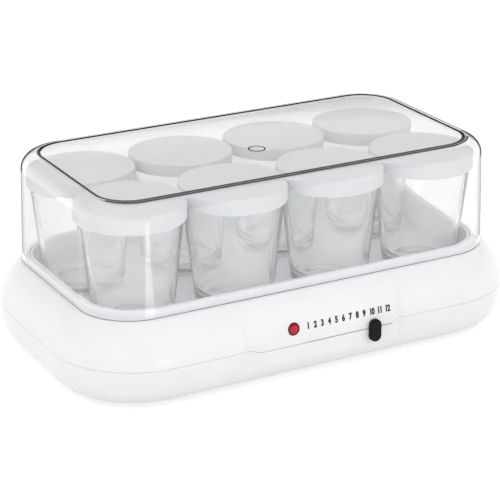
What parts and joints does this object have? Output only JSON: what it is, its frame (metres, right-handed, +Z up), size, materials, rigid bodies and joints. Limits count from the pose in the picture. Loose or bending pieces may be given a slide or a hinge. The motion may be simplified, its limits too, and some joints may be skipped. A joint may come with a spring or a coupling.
{
  "type": "yogurt maker",
  "caption": "Electric yogurt maker: pillow-shaped heated base with a time slider and pilot lamp, lidded glass jars in two rows, and a clear lift-off cover.",
  "frame": {"origin": "on the table, under the middle of the base", "axes": "+X along the length to the right, +Y to the back (the control panel faces -Y), +Z up"},
  "size_m": [0.3228, 0.1918, 0.1272],
  "materials": {
    "white_shell": "glossy moulded white plastic",
    "grey_tray": "satin light grey pan",
    "clear_cover": "clear polystyrene",
    "jar_glass": "clear pressed glass",
    "frosted_lid": "frosted polyethylene",
    "red_lens": "clear red lens",
    "black_knob": "fine-grained black plastic",
    "spring_steel": "bright spring strip",
    "screw_steel": "zinc plated",
    "bare_aluminium": "rolled sheet",
    "heater_silicone": "silicone rubber",
    "phenolic": "phenolic moulding",
    "fuse_ceramic": "sealed fuse case",
    "nylon": "natural nylon",
    "lamp_glass": "clear lamp glass",
    "gland_rubber": "pale grey bush",
    "lead_insulation": "sleeved wire",
    "foot_rubber": "grey rubber"
  },
  "bodies": {
    "base": {"base_upper_shell": "white_shell", "base_lower_shell": "white_shell", "warming_tray": "grey_tray", "pilot_lamp_lens": "red_lens", "cord_gland": "gland_rubber", "heater_plate": "bare_aluminium", "heating_cord": "heater_silicone", "heater_clamps": "bare_aluminium", "thermostat": "phenolic", "thermal_fuse": "fuse_ceramic", "fuse_clamp": "spring_steel", "lamp_holder": "nylon", "neon_lamp": "lamp_glass", "terminal_block": "nylon", "terminal_screws": "screw_steel", "shell_screws": "screw_steel", "tray_screws": "screw_steel", "lead_supply": "lead_insulation", "lead_heater": "lead_insulation", "lead_return": "lead_insulation", "lead_fuse": "lead_insulation", "lead_lamp": "lead_insulation", "foot_1": "foot_rubber", "foot_2": "foot_rubber", "foot_3": "foot_rubber", "foot_4": "foot_rubber"},
    "cover": {"clear_cover": "clear_cover"},
    "slider": {"time_knob": "black_knob", "slider_carrier": "black_knob", "detent_spring": "spring_steel"},
    "jar_1": {"jar_1": "jar_glass"},
    "lid_1": {"jar_lid_1": "frosted_lid"},
    "jar_2": {"jar_2": "jar_glass"},
    "lid_2": {"jar_lid_2": "frosted_lid"},
    "jar_3": {"jar_3": "jar_glass"},
    "lid_3": {"jar_lid_3": "frosted_lid"},
    "jar_4": {"jar_4": "jar_glass"},
    "lid_4": {"jar_lid_4": "frosted_lid"},
    "jar_5": {"jar_5": "jar_glass"},
    "lid_5": {"jar_lid_5": "frosted_lid"},
    "jar_6": {"jar_6": "jar_glass"},
    "lid_6": {"jar_lid_6": "frosted_lid"},
    "jar_7": {"jar_7": "jar_glass"},
    "lid_7": {"jar_lid_7": "frosted_lid"},
    "jar_8": {"jar_8": "jar_glass"},
    "lid_8": {"jar_lid_8": "frosted_lid"}
  },
  "joints": [
    {"name": "cover_lift", "type": "slide", "parent": "base", "child": "cover", "axis": [0, 0, 1], "range_m": [0, 0.3]},
    {"name": "time_slide", "type": "slide", "parent": "base", "child": "slider", "axis": [1, 0, 0], "range_m": [-0.04797, 0.01066]},
    {"name": "jar_1_lift", "type": "slide", "parent": "base", "child": "jar_1", "axis": [0, 0, 1], "range_m": [0, 0.15]},
    {"name": "lid_1_lift", "type": "slide", "parent": "jar_1", "child": "lid_1", "axis": [0, 0, 1], "range_m": [0, 0.06]},
    {"name": "jar_2_lift", "type": "slide", "parent": "base", "child": "jar_2", "axis": [0, 0, 1], "range_m": [0, 0.15]},
    {"name": "lid_2_lift", "type": "slide", "parent": "jar_2", "child": "lid_2", "axis": [0, 0, 1], "range_m": [0, 0.06]},
    {"name": "jar_3_lift", "type": "slide", "parent": "base", "child": "jar_3", "axis": [0, 0, 1], "range_m": [0, 0.15]},
    {"name": "lid_3_lift", "type": "slide", "parent": "jar_3", "child": "lid_3", "axis": [0, 0, 1], "range_m": [0, 0.06]},
    {"name": "jar_4_lift", "type": "slide", "parent": "base", "child": "jar_4", "axis": [0, 0, 1], "range_m": [0, 0.15]},
    {"name": "lid_4_lift", "type": "slide", "parent": "jar_4", "child": "lid_4", "axis": [0, 0, 1], "range_m": [0, 0.06]},
    {"name": "jar_5_lift", "type": "slide", "parent": "base", "child": "jar_5", "axis": [0, 0, 1], "range_m": [0, 0.15]},
    {"name": "lid_5_lift", "type": "slide", "parent": "jar_5", "child": "lid_5", "axis": [0, 0, 1], "range_m": [0, 0.06]},
    {"name": "jar_6_lift", "type": "slide", "parent": "base", "child": "jar_6", "axis": [0, 0, 1], "range_m": [0, 0.15]},
    {"name": "lid_6_lift", "type": "slide", "parent": "jar_6", "child": "lid_6", "axis": [0, 0, 1], "range_m": [0, 0.06]},
    {"name": "jar_7_lift", "type": "slide", "parent": "base", "child": "jar_7", "axis": [0, 0, 1], "range_m": [0, 0.15]},
    {"name": "lid_7_lift", "type": "slide", "parent": "jar_7", "child": "lid_7", "axis": [0, 0, 1], "range_m": [0, 0.06]},
    {"name": "jar_8_lift", "type": "slide", "parent": "base", "child": "jar_8", "axis": [0, 0, 1], "range_m": [0, 0.15]},
    {"name": "lid_8_lift", "type": "slide", "parent": "jar_8", "child": "lid_8", "axis": [0, 0, 1], "range_m": [0, 0.06]}
  ],
  "couplings": [
    {"joint": "jar_1_lift", "follows": "cover_lift", "ratio": 0.5},
    {"joint": "lid_1_lift", "follows": "cover_lift", "ratio": 0.2},
    {"joint": "jar_2_lift", "follows": "cover_lift", "ratio": 0.5},
    {"joint": "lid_2_lift", "follows": "cover_lift", "ratio": 0.2},
    {"joint": "jar_3_lift", "follows": "cover_lift", "ratio": 0.5},
    {"joint": "lid_3_lift", "follows": "cover_lift", "ratio": 0.2},
    {"joint": "jar_4_lift", "follows": "cover_lift", "ratio": 0.5},
    {"joint": "lid_4_lift", "follows": "cover_lift", "ratio": 0.2},
    {"joint": "jar_5_lift", "follows": "cover_lift", "ratio": 0.5},
    {"joint": "lid_5_lift", "follows": "cover_lift", "ratio": 0.2},
    {"joint": "jar_6_lift", "follows": "cover_lift", "ratio": 0.5},
    {"joint": "lid_6_lift", "follows": "cover_lift", "ratio": 0.2},
    {"joint": "jar_7_lift", "follows": "cover_lift", "ratio": 0.5},
    {"joint": "lid_7_lift", "follows": "cover_lift", "ratio": 0.2},
    {"joint": "jar_8_lift", "follows": "cover_lift", "ratio": 0.5},
    {"joint": "lid_8_lift", "follows": "cover_lift", "ratio": 0.2}
  ]
}
